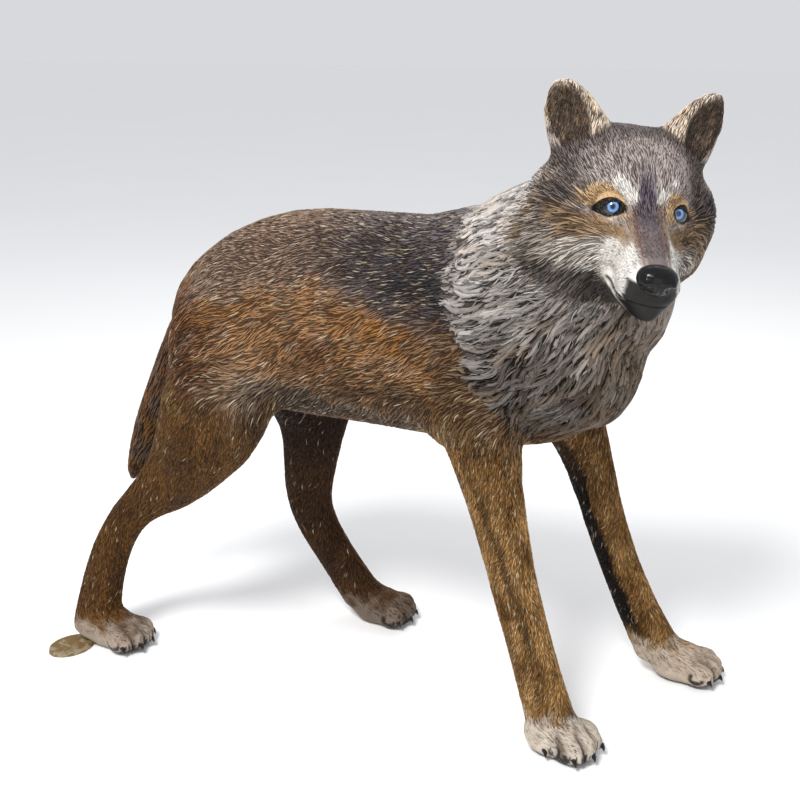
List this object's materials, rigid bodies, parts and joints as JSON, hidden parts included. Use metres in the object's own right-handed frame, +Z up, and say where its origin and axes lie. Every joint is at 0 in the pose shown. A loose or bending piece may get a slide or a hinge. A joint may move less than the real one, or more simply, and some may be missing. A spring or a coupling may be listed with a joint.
{
  "type": "timber wolf statue",
  "caption": "Life-size painted cast statue of a standing timber wolf with carved fur, its head turned to its right, on flat paws with a foot plate at one heel",
  "frame": {"origin": "on the floor under the middle of the statue's box", "axes": "+Z is up, the wolf faces -Y with its tail to +Y, and +X is its left side. It stands upright on its four paws"},
  "size_m": [0.4076, 1.0374, 0.9187],
  "materials": {
    "cast_resin": "hand-painted, satin",
    "eye_gloss": "gloss",
    "nose_gloss": "gloss",
    "tab_paint": "worn paint"
  },
  "bodies": {
    "root": {"anchor_tab": "tab_paint", "ear_left": "cast_resin", "ear_right": "cast_resin", "eye_left": "eye_gloss", "eye_right": "eye_gloss", "head": "cast_resin", "leg_front_left": "cast_resin", "leg_front_right": "cast_resin", "leg_hind_left": "cast_resin", "leg_hind_right": "cast_resin", "neck": "cast_resin", "nose": "nose_gloss", "tail": "cast_resin", "trunk": "cast_resin"}
  },
  "joints": []
}
